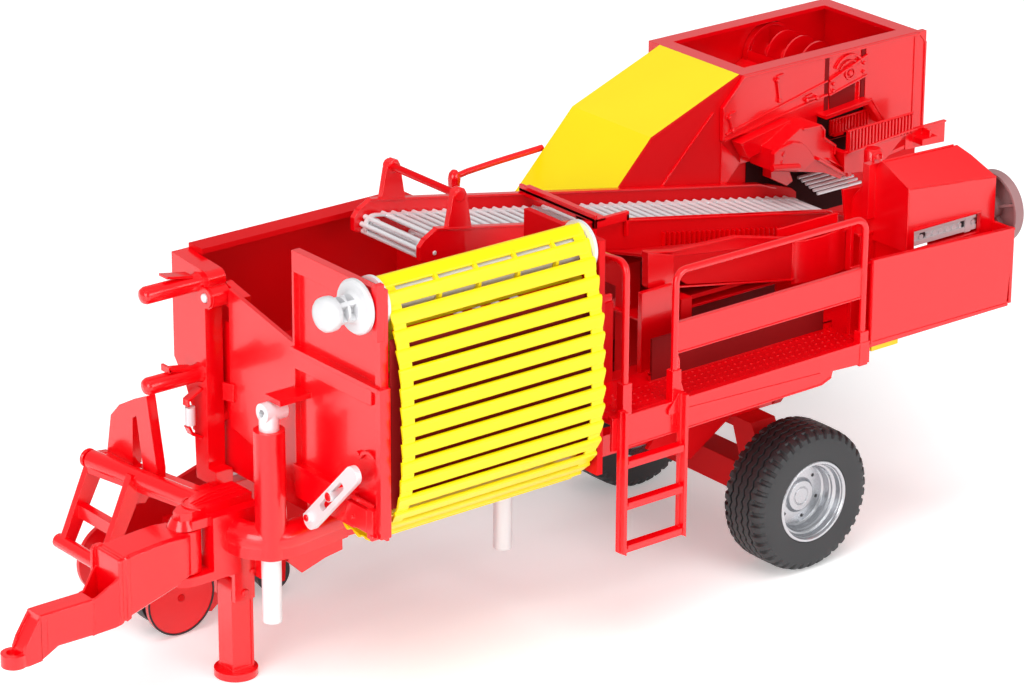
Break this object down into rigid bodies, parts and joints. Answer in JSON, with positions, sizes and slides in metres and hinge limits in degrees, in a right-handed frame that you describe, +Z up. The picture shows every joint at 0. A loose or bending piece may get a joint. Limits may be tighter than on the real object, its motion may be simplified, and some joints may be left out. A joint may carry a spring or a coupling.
{
  "type": "toy potato harvester",
  "caption": "Towed single-row toy potato harvester with side bunker that tips, slatted unloading web, sorting conveyor, platform, ladder and drawbar with jack",
  "frame": {"origin": "bottom centre of the bounding box, on the floor", "axes": "+X forward to the drawbar eye, +Y to the left side with the ladder and the slatted web, +Z up"},
  "size_m": [0.54, 0.1946, 0.1956],
  "materials": {
    "red_plastic": "glossy red moulded plastic",
    "yellow_plastic": "glossy yellow moulded plastic",
    "silver_plastic": "silver plated plastic",
    "tyre_rubber": "dark soft plastic tyre",
    "black_plastic": "black plastic"
  },
  "bodies": {
    "chassis": {"axle_beam": "red_plastic", "frame_head": "red_plastic", "head_cover": "red_plastic", "jack_bracket": "red_plastic", "frame_tube": "red_plastic", "frame_rails": "red_plastic", "front_step": "red_plastic", "bunker_column": "red_plastic", "bunker_fixed": "red_plastic", "conveyor_walls": "red_plastic", "sorting_belt": "silver_plastic", "cross_beam": "red_plastic", "conveyor_columns": "red_plastic", "platform_floor": "red_plastic", "platform_fascia": "red_plastic", "platform_frame": "red_plastic", "platform_brackets": "red_plastic", "hand_rail": "red_plastic", "ladder": "red_plastic", "side_chute": "red_plastic", "channel_ties": "red_plastic", "main_web": "silver_plastic", "channel_hangers": "red_plastic", "yellow_cover": "yellow_plastic", "channel_walls": "red_plastic", "far_rail": "red_plastic", "top_box": "red_plastic", "gear_casting": "red_plastic", "sorting_combs": "red_plastic", "sorting_tray": "red_plastic", "rear_hood": "red_plastic", "separator_web": "silver_plastic", "rear_bin": "red_plastic", "yellow_chute": "yellow_plastic", "rear_frame": "red_plastic", "digger_pivot": "red_plastic"},
    "wheel_left": {"tyre_left": "tyre_rubber", "rim_left": "silver_plastic"},
    "wheel_right": {"tyre_right": "tyre_rubber", "rim_right": "silver_plastic"},
    "drawbar": {"drawbar": "red_plastic"},
    "jack": {"jack_leg": "red_plastic"},
    "tipping_side": {"tip_front": "red_plastic", "tip_rear": "red_plastic", "tip_floor": "red_plastic", "slatted_web": "yellow_plastic", "tip_lever": "silver_plastic"},
    "rod_front": {"ram_rod_front": "silver_plastic"},
    "rod_rear": {"ram_rod_rear": "silver_plastic"},
    "knob": {"web_roller": "silver_plastic", "hand_knob": "silver_plastic"},
    "drive_wheel": {"drive_wheel": "silver_plastic"},
    "digger": {"digger_frame": "red_plastic", "digger_share": "red_plastic", "digging_web": "silver_plastic"},
    "coulter_near": {"coulter_near": "red_plastic"},
    "coulter_far": {"coulter_far": "red_plastic"},
    "ridge_roller": {"ridge_roller": "black_plastic"},
    "support_wheel": {"support_wheel": "black_plastic"},
    "spiral": {"spiral_roller": "red_plastic"}
  },
  "joints": [
    {"name": "wheel_left_spin", "type": "hinge", "parent": "chassis", "child": "wheel_left", "pos_m": [-0.10595, 0.06738, 0.0332], "axis": [0, 1, 0], "continuous": true},
    {"name": "wheel_right_spin", "type": "hinge", "parent": "chassis", "child": "wheel_right", "pos_m": [-0.10595, -0.05002, 0.0332], "axis": [0, 1, 0], "continuous": true},
    {"name": "drawbar_steer", "type": "hinge", "parent": "chassis", "child": "drawbar", "pos_m": [0.18105, 0.00868, 0.06], "axis": [0, 0, 1], "range_deg": [-20, 20]},
    {"name": "jack_fold", "type": "hinge", "parent": "chassis", "child": "jack", "pos_m": [0.15605, 0.00868, 0.04], "axis": [0, 1, 0], "range_deg": [0, 90]},
    {"name": "bunker_tip", "type": "hinge", "parent": "chassis", "child": "tipping_side", "pos_m": [0.13255, -0.02582, 0.156], "axis": [1, 0, 0], "range_deg": [0, 25]},
    {"name": "ram_front_slide", "type": "slide", "parent": "chassis", "child": "rod_front", "axis": [0, 0, 1], "range_m": [0, 0.0232]},
    {"name": "ram_rear_slide", "type": "slide", "parent": "chassis", "child": "rod_rear", "axis": [0, 0, 1], "range_m": [0, 0.0232]},
    {"name": "knob_spin", "type": "hinge", "parent": "tipping_side", "child": "knob", "pos_m": [0.09405, 0.07818, 0.1835], "axis": [1, 0, 0], "continuous": true},
    {"name": "drive_wheel_spin", "type": "hinge", "parent": "chassis", "child": "drive_wheel", "pos_m": [-0.21595, 0.06868, 0.1435], "axis": [1, 0, 0], "continuous": true},
    {"name": "digger_lift", "type": "hinge", "parent": "chassis", "child": "digger", "pos_m": [0.06405, -0.06132, 0.056], "axis": [0, 1, 0], "range_deg": [-12, 1]},
    {"name": "coulter_near_spin", "type": "hinge", "parent": "digger", "child": "coulter_near", "pos_m": [0.15305, -0.03832, 0.0174], "axis": [0, 1, 0], "continuous": true},
    {"name": "coulter_far_spin", "type": "hinge", "parent": "digger", "child": "coulter_far", "pos_m": [0.15305, -0.08932, 0.0174], "axis": [0, 1, 0], "continuous": true},
    {"name": "support_wheel_spin", "type": "hinge", "parent": "digger", "child": "support_wheel", "pos_m": [0.15305, -0.04732, 0.0174], "axis": [0, 1, 0], "continuous": true},
    {"name": "ridge_roller_spin", "type": "hinge", "parent": "digger", "child": "ridge_roller", "pos_m": [0.09905, -0.06132, 0.011], "axis": [0, 1, 0], "continuous": true},
    {"name": "spiral_spin", "type": "hinge", "parent": "chassis", "child": "spiral", "pos_m": [-0.22695, -0.06132, 0.174], "axis": [0, 1, 0], "continuous": true}
  ],
  "couplings": [
    {"joint": "ram_front_slide", "follows": "bunker_tip", "m_per_rad": 0.05307},
    {"joint": "ram_rear_slide", "follows": "bunker_tip", "m_per_rad": 0.05307}
  ]
}
